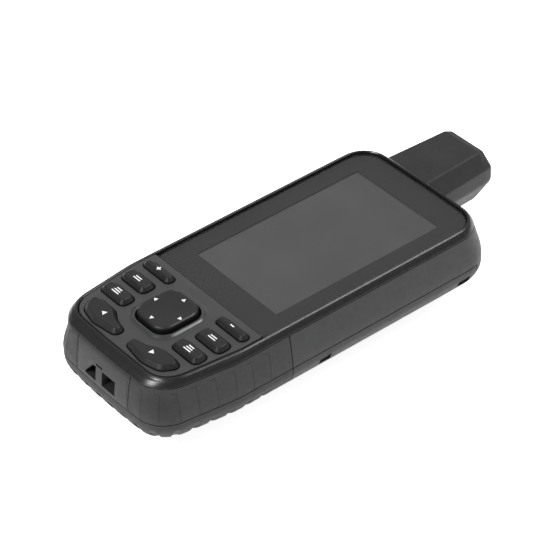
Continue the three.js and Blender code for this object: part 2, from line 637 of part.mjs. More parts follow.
function coverLatch() {
  const disc = bar(LATCH.r, Z_BACK - GAP - LATCH.z0, [0, LATCH.y, (Z_BACK - GAP + LATCH.z0) / 2], "z", 28);
  const shank = bar(LATCH.shank, 11, [0, LATCH.y, 8.5]);
  const ears = [-1, 1].map((s) => {
    const inner = RING.arm + RING.wire + 0.35;
    return block(s > 0 ? inner : -inner - 2, s > 0 ? inner + 2 : -inner,
      RING.pivotY - 1.7, RING.pivotY + 1.7, 0.1, LATCH.z0 + 0.3);
  });
  const eyes = bar(RING.wire + 0.25, 30, [0, RING.pivotY, RING.z], "x", 10);
  return cut(join(disc, shank, ...ears), eyes);
}

// The pull ring, folded flat: a D with its straight side on the pivot.
function dRing() {
  const { pivotY, arm, wire, reach, z } = RING;
  const dShape = (d, r) => {
    const [top, waist, foot] = [pivotY + wire - d, pivotY - reach * 0.6, pivotY - reach - wire * 4 + d];
    const half = [[arm * 0.55, foot, 2.4], [arm + wire - d, waist, 4], [arm + wire - d, top, r]];
    return rounded([...half, ...half.map(([x, y, q]) => [-x, y, q]).reverse()]);
  };
  const loop = prism(dShape(0, 0.6), z - wire, z + wire);
  const hollow = prism(dShape(2 * wire, 0.3), -5, 5);
  const pin = bar(wire - 0.02, 2 * (arm + wire + 2.2), [0, pivotY, z], "x", 10);
  return join(cut(loop, hollow), pin);
}

// ---- assembly -----------------------------------------------------------------------------------

const group = new THREE.Group();

function add(name, look, geometry) {
  const [color, roughness, metalness] = LOOK[look];
  const mesh = new THREE.Mesh(geometry, new THREE.MeshStandardMaterial({ color, roughness, metalness }));
  mesh.name = name;
  group.add(mesh);
}

add("mid_housing", "shell", midHousing());
add("lanyard_block", "shell", lanyardBlock());
add("left_bumper", "rubber", sideBumper(-1));
add("right_bumper", "rubber", sideBumper(1));
add("front_bezel", "bezel", frontBezel());
add("display_window", "clear", prism(windowOutline(), Z_GLASS - WINDOW.thick, Z_GLASS));
add("display_gasket", "silicone", prism(windowOutline(0.5), 29.9, 30.4, [windowOutline(2.2)]));
add("lcd_panel", "screen", prism(box4(-LCD.w, LCD.w, LCD.y0, LCD.y1, 0.5), LCD.z0, LCD.z1));
add("lcd_frame", "metal", lcdFrame());
add("keypad_plate", "plate", keypadPlate());
for (const [name, shape] of Object.entries(keyOutlines())) add(name, "key", keyCap(shape));
add("rocker_pad", "key", rockerPad());
add("rocker_pivot", "black", block(-2.4, 2.4, ROCKER.y - 2.4, ROCKER.y + 2.4, 28.4, 30.1));
add("keypad_membrane", "silicone", keypadMembrane());
add("dome_sheet", "metal", domeSheet());
add("keypad_board", "board", block(
  -KEY_BOARD.w, KEY_BOARD.w, KEY_BOARD.y0, KEY_BOARD.y1, KEY_BOARD.z0, KEY_BOARD.z1));
add("main_board", "board", mainBoard());
add("processor_shield", "metal", shieldCan(-17, 12, -22, 12));
add("receiver_shield", "metal", shieldCan(-20, -2, 18, 38));
add("sounder", "black", bar(4.5, 2.7, [16, -20, 21.3], "z", 20));
add("power_key", "key", powerKey());
add("power_switch", "metal", block(-26.2, -23.5, 25, 30, 24.5, 26.6));
add("torch_lens", "clear", torchLens());
add("torch_lamp", "ceramic", block(
  TORCH.x - 1.4, TORCH.x + 1.4, 48.2, 49.9, TORCH.z - 1.4, TORCH.z + 1.4));
add("usb_socket", "metal", usbSocket());
add("usb_cap", "rubber", usbCap());
add("antenna_housing", "shell", antennaHousing());
add("antenna_core", "ceramic", bar(6.6, 24, [ANT.x, 66, 16.8], "y", 20));
add("antenna_lead", "board", block(-15, -10, 38, 52.4, 21.5, 22.3));
add("battery_pack", "battery", prism(
  box4(-BATTERY.w, BATTERY.w, -BATTERY.y, BATTERY.y, 4), BATTERY.z0, BATTERY.z1));
add("battery_connector", "black", block(-6, 6, -41.5, -BATTERY.y - 0.6, 12, BATTERY.z1));
add("card_socket", "metal", cardSocket());
add("memory_card", "black", block(CARD.x0, CARD.x1, CARD.y0, CARD.y1, CARD.z0, CARD.z1));
add("rear_cover", "shell", rearCover());
add("rear_bumper", "rubber", rearBumper());
add("cover_seal", "silicone", coverSeal());
add("mount_spine", "shell", mountSpine());
spineScrewPlaces().forEach((y, i) =>
  add(`spine_screw_${i + 1}`, "metal", screw(0, y, SPINE_SCREW.z, SPINE_SCREW.length)));
add("cover_latch", "black", coverLatch());
add("d_ring", "metal", dRing());
screwPlaces().forEach(([x, y], i) =>
  add(`case_screw_${i + 1}`, "metal", screw(x, y, CASE_SCREW.z, CASE_SCREW.length)));

export default group;
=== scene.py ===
import json
import math

import bmesh
import bpy
import numpy as np
from mathutils import Matrix, Vector


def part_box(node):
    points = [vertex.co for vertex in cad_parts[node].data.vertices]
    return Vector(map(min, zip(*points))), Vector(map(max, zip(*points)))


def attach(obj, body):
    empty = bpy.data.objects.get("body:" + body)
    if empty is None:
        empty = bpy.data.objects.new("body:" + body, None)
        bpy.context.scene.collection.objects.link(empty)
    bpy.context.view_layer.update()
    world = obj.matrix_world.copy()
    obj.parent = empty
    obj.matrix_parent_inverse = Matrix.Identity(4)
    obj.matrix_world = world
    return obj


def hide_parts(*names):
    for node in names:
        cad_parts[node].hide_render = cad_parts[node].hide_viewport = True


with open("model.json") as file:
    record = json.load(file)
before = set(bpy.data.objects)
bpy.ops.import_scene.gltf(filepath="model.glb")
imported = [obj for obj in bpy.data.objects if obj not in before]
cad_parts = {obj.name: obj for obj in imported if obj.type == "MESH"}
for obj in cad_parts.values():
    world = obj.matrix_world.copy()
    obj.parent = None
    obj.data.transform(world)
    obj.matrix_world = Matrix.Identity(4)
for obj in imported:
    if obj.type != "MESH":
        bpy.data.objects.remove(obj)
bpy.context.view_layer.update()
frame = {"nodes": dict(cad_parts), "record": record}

MM = 0.001
FAR = 200.0
GAP = 0.3
NODE_BODY = {n: body for body, nodes in frame["record"]["behaviour"]["bodies"].items() for n in nodes}
NODE_SLOT = {s["node"]: s["material_slot"] for s in frame["record"]["subparts"]}


def box(node):
    """The lowest and highest corners of a CAD node, in millimetres."""
    low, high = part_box(node)
    return np.array(low) / MM, np.array(high) / MM


# ---- driving dimensions, from the frame ---------------------------------------------------------

HALF_W = box("mid_housing")[1][0]
Y_TOP = box("mid_housing")[1][1]
Y_LOW = box("lanyard_block")[0][1]
Z_BACK = box("rear_cover")[0][2]
Z_SEAM = (box("rear_cover")[1][2] + box("lanyard_block")[0][2]) / 2
Z_WALL_TOP = box("mid_housing")[1][2]
Z_WALL_HIGH = Z_WALL_TOP - 3.4
Z_RIM = box("front_bezel")[1][2]
Z_LEDGE = box("display_window")[0][2] - 1.1
Z_GLASS = box("display_window")[1][2]
Z_PLATE = Z_RIM + 0.1
Z_KEY = box("key_find")[1][2]
Z_TOP = box("rocker_pad")[1][2]
Y_COVER_TOP = box("rear_cover")[1][1]
Y_BUMPER = box("right_bumper")[1][1]
X_BLOCK = box("lanyard_block")[1][0] + GAP

# Outlines seen from the front. w: half width, xB and yB: lower corner, yC: where the sides start to
# draw in, yT: top end, cb and ct: how far the ends bow outward, rB and rT: corner radii.
WALL = dict(w=HALF_W, yT=Y_TOP - 0.6, ct=0.6, yC=-52.0, xB=HALF_W - 3.7, yB=Y_LOW + 1.1, cb=1.1,
            rB=10, rT=10.6)
WALL_HIGH = dict(w=HALF_W - 0.7, yT=Y_TOP - 2, ct=0.6, yC=-51.5, xB=HALF_W - 4.8, yB=Y_LOW + 2.1,
                 cb=1.1, rB=12.2, rT=11.0)
WALL_TOP = dict(w=HALF_W - 1.1, yT=Y_TOP - 2.9, ct=0.5, yC=-51.0, xB=HALF_W - 5.1, yB=Y_LOW + 2.9, cb=1.0,
                rB=10.8, rT=10.6)
RIM = dict(w=HALF_W - 2.4, yT=Y_TOP - 4.1, ct=0.4, yC=-48.5, xB=HALF_W - 5.7, yB=Y_LOW + 5.3, cb=0.6,
           rB=9.5, rT=9.4)
GROOVE = dict(w=HALF_W - 3.5, yT=Y_TOP - 5.1, ct=0.4, yC=-47.5, xB=HALF_W - 6.9, yB=Y_LOW + 6.4, cb=0.5,
              rB=8.3, rT=8.2)

# The body's edge from the flat back up to the wall: (inset from WALL, height).
EDGE_PROFILE = [(16, Z_BACK), (12, 4.6), (8.6, 5.8), (4.9, 8), (2.2, 10.7), (0.7, 13.2), (0, 15.6),
                (0, 19.5)]

# The case's hollow middle, and the hard block that closes its lower end.
WALL_THICK = 2.9
HOLLOW_Y = (-76.8, 49.5)
HOLLOW_FLOOR = 19.6
BLOCK_FLOOR = 26.8
BLOCK_Y = -72.3

# Rubber skins, and the hard strip of the back that the rubber leaves free.
SIDE_SKIN = 0.9
REAR_SKIN = 1.5
STRIP_HALF_W = 15
STRIP_LOW_Y = -64

BAR_X = (-3.0, 0.2)
LANYARD_X = (-8.5, 6.8)
LANYARD_Z = (19.0, 24.3)
BAR_BACK_Y = Y_LOW + 2.9
LANYARD_DEEP_Y = Y_LOW + 7.3
TREAD = dict(pitch=6.3, r=2.0, length=12, tilt=0.85, inset=2.2, z=9.2)
RIB = dict(pitch=6.6, wide=0.3, deep=0.07, low=18.2, high=28.2, hook=1.5)
GRIP = dict(ys=((-20, -15.4), (38, 43)), deep=1.7, low=12.2, high=14.8)

# The eight-sided antenna: widths of its under and upper flats beside its full width, and corner heights.
ANTENNA = dict(under=0.52, over=0.7, low=17.4, high=22.9, neck_y=46.8)
ANTENNA_LOW, ANTENNA_HIGH = box("antenna_housing")
ANTENNA_BASE = (ANTENNA_HIGH[0] - ANTENNA_LOW[0]) / 2
ANTENNA_TIP = ANTENNA_BASE - 1.8

COVER_THICK = 3.2
LATCH_Y = -47.0
LATCH_HOLE_R = 3.35
RING_PIVOT_Y = -42.6
RING_PIVOT_Z = 1.25
POWER_LIP = 0.9
POWER_FLANGE = 0.7

# ---- outlines -----------------------------------------------------------------------------------


def unit(v):
    return v / np.linalg.norm(v)


def arc(before, here, after, radius, steps):
    """The points of a round corner between two straight sides."""
    back, on = unit(before - here), unit(after - here)
    half = math.acos(float(np.clip(back @ on, -1, 1))) / 2
    centre = here + unit(back + on) * radius / math.sin(half)
    first = here + back * radius / math.tan(half) - centre
    turn = (math.pi - 2 * half) * np.sign(on[0] * back[1] - on[1] * back[0])
    angles = np.linspace(0, turn, steps + 1)
    return [centre + np.array([first[0] * math.cos(a) - first[1] * math.sin(a),
                               first[0] * math.sin(a) + first[1] * math.cos(a)]) for a in angles]


def rounded(corners, steps=6, side=1):
    """A closed outline with a round corner at each (x, y, radius), its straight sides split into `side`."""
    spots = [np.array(c[:2], float) for c in corners]
    arcs = [arc(spots[i - 1], spots[i], spots[(i + 1) % len(spots)], corner[2], steps)
            for i, corner in enumerate(corners)]
    points = []
    for i, here in enumerate(arcs):
        points += here
        start, end = here[-1], arcs[(i + 1) % len(arcs)][0]
        points += [start + (end - start) * k / side for k in range(1, side)]
    return np.array(points)


def outline(o):
    """The device's outline from one of the tables above, with softly bowed ends."""
    half = [(o["xB"], o["yB"], o["rB"]), (o["w"], o["yC"], 40), (o["w"], o["yT"], o["rT"])]
    points = rounded(half + [(-x, y, r) for x, y, r in reversed(half)], steps=8, side=6)
    x, y = np.abs(points[:, 0]), points[:, 1].copy()
    low, high = y < o["yC"], y > 0
    points[low, 1] -= o["cb"] * np.clip(1 - (x[low] / o["xB"]) ** 2, 0, 1)
    points[high, 1] += o["ct"] * np.clip(1 - (x[high] / o["w"]) ** 2, 0, 1)
    return points


def inset(o, d):
    return dict(o, w=o["w"] - d, xB=o["xB"] - d, yB=o["yB"] + d, yT=o["yT"] - d,
                rB=max(o["rB"] - 0.7 * d, 2.5), rT=max(o["rT"] - 0.7 * d, 2.5))


def between(a, b, t):
    return {k: a[k] + (b[k] - a[k]) * t for k in a}


def grow(points, d):
    """Moves a closed, anticlockwise outline outward by d."""
    u = points - np.roll(points, 1, 0)
    v = np.roll(points, -1, 0) - points
    u /= np.linalg.norm(u, axis=1)[:, None]
    v /= np.linalg.norm(v, axis=1)[:, None]
    normal = np.stack([u[:, 1] + v[:, 1], -u[:, 0] - v[:, 0]], 1)
    normal /= np.linalg.norm(normal, axis=1)[:, None]
    lean = np.clip(normal[:, 0] * u[:, 1] - normal[:, 1] * u[:, 0], 0.5, 1)
    return points + normal * (d / lean)[:, None]


def at(points, z):
    return np.column_stack([points, np.full(len(points), float(z))])


def oblong(x0, x1, y0, y1, r, steps=6, side=1):
    return rounded([(x0, y0, r), (x1, y0, r), (x1, y1, r), (x0, y1, r)], steps, side)


def mirrored(points):
    return (points * [-1, 1])[::-1]


# ---- meshes -------------------------------------------------------------------------------------


def mesh_object(name, verts, faces):
    mesh = bpy.data.meshes.new(name)
    mesh.from_pydata((np.asarray(verts, float) * MM).tolist(), [], [list(map(int, f)) for f in faces])
    shape = bmesh.new()
    shape.from_mesh(mesh)
    bmesh.ops.recalc_face_normals(shape, faces=shape.faces)
    shape.to_mesh(mesh)
    shape.free()
    piece = bpy.data.objects.new(name, mesh)
    bpy.context.scene.collection.objects.link(piece)
    return piece


def apply_modifiers(piece):
    bpy.context.view_layer.update()
    graph = bpy.context.evaluated_depsgraph_get()
    mesh = bpy.data.meshes.new_from_object(piece.evaluated_get(graph))
    piece.modifiers.clear()
    piece.data = mesh
    return piece


def supported(rings, closed, r):
    """Adds a ring close to each side of every ring, so that subdivision rounds the edge by about r."""
    out = []
    for i, ring in enumerate(rings):
        out.append(ring)
        if i == len(rings) - 1 and not closed:
            break
        following = rings[(i + 1) % len(rings)]
        length = np.median(np.linalg.norm(following - ring, axis=1))
        if length > 2.5 * r:
            out.append(ring + (following - ring) * r / length)
            out.append(following + (ring - following) * r / length)
    return out


def drawn_in(ring, d):
    """The ring moved towards its own middle by d."""
    middle = ring.mean(0)
    away = ring - middle
    return ring - away / np.linalg.norm(away, axis=1)[:, None] * d


def loft(name, rings, closed=False, soften=0.0, levels=2):
    """A solid through rings of equally many points, its edges rounded by about `soften`."""
    if soften:
        if not closed:
            rings = [drawn_in(rings[0], soften)] + list(rings) + [drawn_in(rings[-1], soften)]
        rings = supported(rings, closed, soften)
    n, count = len(rings[0]), len(rings)
    faces = []
    for r in range(count if closed else count - 1):
        for i in range(n):
            a, b = r * n + i, r * n + (i + 1) % n
            c, d = ((r + 1) % count) * n + i, ((r + 1) % count) * n + (i + 1) % n
            faces.append((a, b, d, c))
    if not closed:
        faces.append(tuple(range(n)))
        faces.append(tuple(range((count - 1) * n, count * n)))
    piece = mesh_object(name, np.concatenate(rings), faces)
    if soften:
        piece.modifiers.new("round", "SUBSURF").levels = levels
        apply_modifiers(piece)
    return piece


def prism(points, z0, z1, name="cutter"):
    return loft(name, [at(points, z0), at(points, z1)])


def block(x0, x1, y0, y1, z0, z1, name="cutter"):
    return prism(np.array([(x0, y0), (x1, y0), (x1, y1), (x0, y1)], float), z0, z1, name)


def turned(piece, matrix):
    piece.data.transform(matrix)
    return piece


def placed(piece, x, y, z):
    return turned(piece, Matrix.Translation(Vector((x, y, z)) * MM))


def along_y(points, y0, y1, name="cutter"):
    """A shape drawn in X and Z and running along Y."""
    rings = [np.column_stack([points[:, 0], np.full(len(points), y), points[:, 1]]) for y in (y0, y1)]
    return loft(name, rings)


def rod(radius, length, sides=32, name="cutter"):
    """A round bar along X, about the origin."""
    a = np.linspace(0, 2 * math.pi, sides, endpoint=False)
    circle = np.column_stack([radius * np.cos(a), radius * np.sin(a)])
    rings = [np.column_stack([np.full(sides, x), circle]) for x in (-length / 2, length / 2)]
    return loft(name, rings)


def boolean(piece, cutters, operation):
    for cutter in cutters:
        step = piece.modifiers.new(operation.lower(), "BOOLEAN")
        step.operation = operation
        step.solver = "MANIFOLD"
        step.object = cutter
    apply_modifiers(piece)
    for cutter in cutters:
        bpy.data.objects.remove(cutter)
    return piece


def cut(piece, *cutters):
    return boolean(piece, cutters, "DIFFERENCE")


def join(piece, *more):
    return boolean(piece, more, "UNION")


def keep(piece, *cutters):
    return boolean(piece, cutters, "INTERSECT")


def smooth(piece, degrees=30):
    piece.data.shade_smooth()
    piece.data.set_sharp_from_angle(angle=math.radians(degrees))
    return piece


# ---- materials ----------------------------------------------------------------------------------


class Look:
    """A procedural material under construction: short calls that add and link its nodes."""

    def __init__(self, name):
        self.material = bpy.data.materials.new(name)
        self.material.use_nodes = True
        self.nodes = self.material.node_tree.nodes
        self.links = self.material.node_tree.links
        self.shader = self.nodes["Principled BSDF"]
        self.place = self.node("ShaderNodeTexCoord").outputs["Object"]

    def node(self, kind, **settings):
        made = self.nodes.new(kind)
        for key, value in settings.items():
            setattr(made, key, value)
        return made

    def link(self, source, target):
        self.links.new(source, target)

    def noise(self, size_mm, detail=3.0, rough=0.55, stretch=None):
        """Noise whose features are about size_mm across."""
        made = self.node("ShaderNodeTexNoise")
        made.inputs["Scale"].default_value = 1 / (size_mm * MM)
        made.inputs["Detail"].default_value = detail
        made.inputs["Roughness"].default_value = rough
        place = self.place
        if stretch:
            mapping = self.node("ShaderNodeMapping")
            mapping.inputs["Scale"].default_value = stretch
            self.link(place, mapping.inputs["Vector"])
            place = mapping.outputs["Vector"]
        self.link(place, made.inputs["Vector"])
        return made.outputs["Fac"]

    def spread(self, value, low, high, from_low=0.3, from_high=0.7):
        made = self.node("ShaderNodeMapRange")
        made.inputs["From Min"].default_value = from_low
        made.inputs["From Max"].default_value = from_high
        made.inputs["To Min"].default_value = low
        made.inputs["To Max"].default_value = high
        self.link(value, made.inputs["Value"])
        return made.outputs["Result"]

    def math(self, operation, a, b):
        made = self.node("ShaderNodeMath", operation=operation)
        for socket, value in zip(made.inputs, (a, b)):
            if isinstance(value, (int, float)):
                socket.default_value = value
            else:
                self.link(value, socket)
        return made.outputs[0]

    def mix(self, amount, a, b):
        made = self.node("ShaderNodeMix", data_type="RGBA")
        for socket, value in zip((made.inputs[0], made.inputs[6], made.inputs[7]), (amount, a, b)):
            if hasattr(value, "is_output"):
                self.link(value, socket)
            else:
                socket.default_value = (*value, 1)
        return made.outputs[2]

    def edge(self, radius_mm):
        """1 on sharp outer edges and inner corners, 0 on flat faces, with the rounded normal."""
        soft = self.node("ShaderNodeBevel", samples=4)
        soft.inputs["Radius"].default_value = radius_mm * MM
        plain = self.node("ShaderNodeNewGeometry").outputs["Normal"]
        dot = self.node("ShaderNodeVectorMath", operation="DOT_PRODUCT")
        self.link(soft.outputs["Normal"], dot.inputs[0])
        self.link(plain, dot.inputs[1])
        return soft.outputs["Normal"], self.spread(dot.outputs["Value"], 1, 0, 0.86, 0.995)

    def bump(self, height, depth_mm, normal=None):
        made = self.node("ShaderNodeBump")
        made.inputs["Distance"].default_value = depth_mm * MM
        self.link(height, made.inputs["Height"])
        if normal:
            self.link(normal, made.inputs["Normal"])
        self.link(made.outputs["Normal"], self.shader.inputs["Normal"])


def moulded(name, color, rough, grain=0.28, depth=0.012, edge=0.25, wear=0.25, tint=0.12, uneven=0.14,
            specular=0.5, dust=0.0):
    """Moulded plastic or rubber: fine grain, broad variation in colour and gloss, worn edges."""
    look = Look(name)
    base = np.array(color)
    patches = look.noise(9, 3)
    fine = look.noise(grain, 2, 0.6)
    scuffs = look.noise(1.7, 6, 0.7)
    normal, edges = look.edge(edge)
    worn = look.math("MULTIPLY", edges, look.spread(scuffs, 0.15, 1, 0.35, 0.65))
    colour = look.mix(look.spread(patches, 0, 1), tuple(base * (1 - tint)), tuple(base * (1 + tint)))
    colour = look.mix(look.math("MULTIPLY", worn, wear), colour, tuple(base * 1.6 + 0.03))
    if dust:
        specks = look.spread(look.noise(0.5, 4, 0.7), 0, dust, 0.58, 0.75)
        colour = look.mix(specks, colour, tuple(base * 1.5 + 0.02))
    look.link(colour, look.shader.inputs["Base Color"])
    gloss = look.spread(scuffs, rough * (1 - uneven), min(rough * (1 + uneven), 1))
    look.link(look.math("ADD", gloss, look.math("MULTIPLY", worn, 0.06)), look.shader.inputs["Roughness"])
    look.shader.inputs["Specular IOR Level"].default_value = specular
    look.bump(fine, depth, normal)
    return look.material


def brushed(name, color, rough):
    look = Look(name)
    lines = look.noise(0.25, 3, 0.6, stretch=(1, 0.06, 1))
    patches = look.noise(6, 3)
    base = np.array(color)
    colour = look.mix(look.spread(patches, 0, 1), tuple(base * 0.9), tuple(base))
    look.link(colour, look.shader.inputs["Base Color"])
    look.link(look.spread(lines, rough * 0.8, rough * 1.3), look.shader.inputs["Roughness"])
    look.shader.inputs["Metallic"].default_value = 1
    look.bump(lines, 0.006, look.edge(0.15)[0])
    return look.material


def clear(name, color, alpha, rough=0.04):
    """A clear hard-coated window: faint smears in its gloss."""
    look = Look(name)
    smears = look.noise(14, 4, 0.6)
    look.shader.inputs["Base Color"].default_value = (*color, 1)
    look.link(look.spread(smears, rough, rough * 3), look.shader.inputs["Roughness"])
    look.link(look.spread(look.noise(30, 2), alpha * 0.94, alpha * 1.06), look.shader.inputs["Alpha"])
    look.shader.inputs["Specular IOR Level"].default_value = 0.4
    look.bump(smears, 0.0015)
    return look.material


MATERIALS = {
    "shell_grey": moulded("shell_grey", (0.02, 0.0204, 0.0212), 0.5, grain=0.3, depth=0.012, wear=0.3,
                          specular=0.25),
    "bumper_rubber": moulded("bumper_rubber", (0.024, 0.024, 0.0236), 0.62, grain=0.2, depth=0.01, wear=0.2,
                             dust=0.12, specular=0.25),
    "bezel_gloss": moulded("bezel_gloss", (0.007, 0.0072, 0.0077), 0.28, grain=0.6, depth=0.002, wear=0.06,
                           specular=0.45),
    "window_clear": clear("window_clear", (0.012, 0.012, 0.013), 0.3, 0.1),
    "display_glass": moulded("display_glass", (0.22, 0.221, 0.222), 0.45, grain=6, depth=0.0005, edge=0.05,
                             wear=0.0, tint=0.02, uneven=0.03, specular=0.15),
    "keypad_grey": moulded("keypad_grey", (0.034, 0.0344, 0.0352), 0.44, grain=0.22, depth=0.006, wear=0.25,
                           specular=0.45),
    "key_grey": moulded("key_grey", (0.0065, 0.0067, 0.007), 0.4, grain=0.25, depth=0.005, wear=0.3,
                        specular=0.4),
    "silicone_grey": moulded("silicone_grey", (0.16, 0.16, 0.16), 0.75, grain=0.2, depth=0.01),
    "steel": brushed("steel", (0.5, 0.51, 0.52), 0.3),
    "black_plastic": moulded("black_plastic", (0.016, 0.016, 0.016), 0.45, grain=0.3, depth=0.01),
    "circuit_board": moulded("circuit_board", (0.018, 0.11, 0.055), 0.4, grain=0.8, depth=0.02, tint=0.3),
    "lens_clear": clear("lens_clear", (0.75, 0.77, 0.8), 0.45),
    "ceramic_white": moulded("ceramic_white", (0.55, 0.52, 0.45), 0.35, grain=0.4, depth=0.006),
    "battery_wrap": moulded("battery_wrap", (0.06, 0.08, 0.13), 0.38, grain=1.2, depth=0.01),
}
PRINT = moulded("window_print", (0.055, 0.0555, 0.057), 0.5, grain=6, depth=0.0005, edge=0.01, wear=0,
                tint=0.02, uneven=0.03, specular=0.1)
POLISHED = moulded("polished_rim", (0.03, 0.031, 0.032), 0.26, grain=4, depth=0.0005, edge=0.05, wear=0,
                   uneven=0.05)
INK = moulded("key_marks", (0.75, 0.76, 0.77), 0.5, grain=0.2, depth=0.002, edge=0.02, wear=0, tint=0.03)


def stands_for(piece, node, *others):
    """The piece takes the CAD node's body, material slot and finish, and hides it."""
    smooth(piece)
    piece.data.materials.clear()
    piece.data.materials.append(MATERIALS[NODE_SLOT[node]])
    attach(piece, NODE_BODY[node])
    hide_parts(node, *others)
    return piece


def add_trim(piece, name, node, finish, slot):
    """A detail that moves with the CAD node's body and hides nothing."""
    smooth(piece)
    piece.name = name
    piece.data.materials.clear()
    piece.data.materials.append(finish)
    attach(piece, NODE_BODY[node])
    return piece


# ---- the body's outer shape ---------------------------------------------------------------------


def edge_curve(skin):
    """The edge profile as a smooth curve, drawn in by skin: (inset, height, inset before drawing in)."""
    p = np.array(EDGE_PROFILE, float)
    p = np.vstack([2 * p[0] - p[1], p, 2 * p[-1] - p[-2]])
    points = []
    for i in range(1, len(p) - 2):
        for t in np.arange(0, 1, 0.2):
            points.append(0.5 * (2 * p[i] + (p[i + 1] - p[i - 1]) * t
                                 + (2 * p[i - 1] - 5 * p[i] + 4 * p[i + 1] - p[i + 2]) * t ** 2
                                 + (3 * p[i] - p[i - 1] - 3 * p[i + 1] + p[i + 2]) * t ** 3))
    points = np.array(points + [p[-2]])
    points[:, 0] = np.maximum(points[:, 0], 0)
    along = np.gradient(points, axis=0)
    along /= np.linalg.norm(along, axis=1)[:, None]
    return np.column_stack([points + skin * np.column_stack([along[:, 1], -along[:, 0]]), points[:, 0]])


def fuller_end(o, under):
    """The lower end curves under more slowly than the sides do."""
    return dict(o, yB=o["yB"] - 0.28 * under, rB=o["rB"] + 0.5 * under)


def body(skin=0.0, name="body"):
    """The solid of the whole body below the bezel, drawn in by skin all over."""
    rings = [at(outline(fuller_end(inset(WALL, d), under)), z) for d, z, under in edge_curve(skin)]
    top_of_curve = EDGE_PROFILE[-1][1]
    for t in (0.2, 0.4, 0.6, 0.8, 1.0):
        z = top_of_curve + (Z_WALL_HIGH - top_of_curve) * t
        rings.append(at(outline(inset(between(WALL, WALL_HIGH, t ** 1.3), skin)), z))
    for t in (0.5, 1.0):
        z = Z_WALL_HIGH + (Z_WALL_TOP - Z_WALL_HIGH) * t
        rings.append(at(outline(inset(between(WALL_HIGH, WALL_TOP, t), skin)), z - 0.25 * (t == 1)))
    rings.append(at(outline(inset(WALL_TOP, skin + 0.25)), Z_WALL_TOP))
    return loft(name, rings)


def cavity(floor=HOLLOW_FLOOR):
    return prism(outline(dict(inset(WALL, WALL_THICK), yB=HOLLOW_Y[0], yT=HOLLOW_Y[1])), floor, Z_TOP)


def bumper_zone(skin, gap):
    """The rubber's share: the body's outer skin below Y_BUMPER, outside the block and the flat back."""
    shell = cut(body(-1.0), body(skin + gap))
    half = X_BLOCK - gap
    cut(shell, block(-half, half, -FAR, FAR, Z_SEAM, FAR))
    keep(shell, block(-FAR, FAR, -FAR, Y_BUMPER + gap, -FAR, FAR))
    strip = oblong(-STRIP_HALF_W + gap, STRIP_HALF_W - gap, STRIP_LOW_Y + gap, 0, 5)
    return cut(shell, prism(strip, -FAR, Z_SEAM - 2))


def wall_places(pitch, offset=0.5, depth=0.0):
    """Points spaced along the right half of the lower end's outline, with the way outward."""
    path = outline(inset(WALL, depth))
    path = path[(path[:, 1] < Y_BUMPER - 1.5) & (path[:, 0] >= -0.1)]
    path = path[np.argsort(np.arctan2(path[:, 1] + 50, path[:, 0]))]
    steps = np.linalg.norm(np.diff(path, axis=0), axis=1)
    length = np.concatenate([[0], np.cumsum(steps)])
    for k in range(int(length[-1] / pitch)):
        s = (k + offset) * pitch
        i = min(int(np.searchsorted(length, s)) - 1, len(steps) - 1)
        on = (path[i + 1] - path[i]) / steps[i]
        yield path[i] + on * (s - length[i]), np.array([on[1], -on[0]])


def ribs():
    """Faint upright grooves with hooked tops, all round the lower end's wall, following its surface."""
    wide, low, high, hook = RIB["wide"], RIB["low"], RIB["high"], RIB["hook"]
    shape = [(0, low), (wide, low), (wide, high), (-hook, high), (-hook, high - wide), (0, high - wide)]
    n = len(shape)
    verts, faces = [], []
    for spot, out in wall_places(RIB["pitch"], 0.9):
        if spot[0] < LANYARD_X[1] + 3:
            continue
        for side in (1, -1):
            way = np.array([out[0] * side, out[1]])
            along = np.array([-way[1], way[0]]) * side
            centre = np.array([spot[0] * side, spot[1]])
            first = len(verts)
            for reach in (-4, 2):
                for t, z in shape:
                    verts.append((*(centre + way * reach + along * t), z))
            for k in range(n):
                following = (k + 1) % n
                faces.append([first + k, first + following, first + n + following, first + n + k])
            faces += [[first + k for k in range(n)], [first + n + k for k in reversed(range(n))]]
    blades = mesh_object("blades", verts, faces)
    return keep(blades, cut(body(-1.0), body(RIB["deep"])))


def side_bumper(side):
    zone = keep(bumper_zone(SIDE_SKIN, 0), body())
    x0, x1 = (0, FAR) if side > 0 else (-FAR, 0)
    keep(zone, block(x0, x1, -FAR, FAR, Z_SEAM + GAP / 2, FAR))
    return zone


def treads():
    found = []
    for spot, out in wall_places(TREAD["pitch"], depth=TREAD["inset"]):
        for side in (1, -1):
            groove = rod(TREAD["r"], TREAD["length"])
            turned(groove, Matrix.Rotation(-TREAD["tilt"], 4, "Y"))
            turned(groove, Matrix.Rotation(math.atan2(out[1], out[0] * side), 4, "Z"))
            found.append(placed(groove, spot[0] * side, spot[1], TREAD["z"]))
    return found


def antenna_ring(y, half, draw_in=0.0, side_in=None):
    """The antenna's section at y, `half` wide each way, its flats drawn in and its sides by side_in."""
    x = (ANTENNA_LOW[0] + ANTENNA_HIGH[0]) / 2
    under = half * ANTENNA["under"] - draw_in * 0.45
    over = half * ANTENNA["over"] - draw_in * 0.9
    w = half - (draw_in if side_in is None else side_in)
    corners = [(under, ANTENNA_LOW[2] + draw_in, 1.4), (w, ANTENNA["low"], 4), (w, ANTENNA["high"], 1.4),
               (over, ANTENNA_HIGH[2] - draw_in, 1.4)]
    corners += [(-a, z, r) for a, z, r in reversed(corners)]
    ring = rounded(corners, steps=4, side=2)
    return np.column_stack([ring[:, 0] + x, np.full(len(ring), float(y)), ring[:, 1]])


# ---- case pieces --------------------------------------------------------------------------------

def hole_for(node, gap):
    """A box cutter round a CAD node, running on out through the upper end."""
    low, high = box(node)
    low, high = low - gap, high + gap
    return block(low[0], high[0], low[1], high[1] + 20, low[2], high[2])


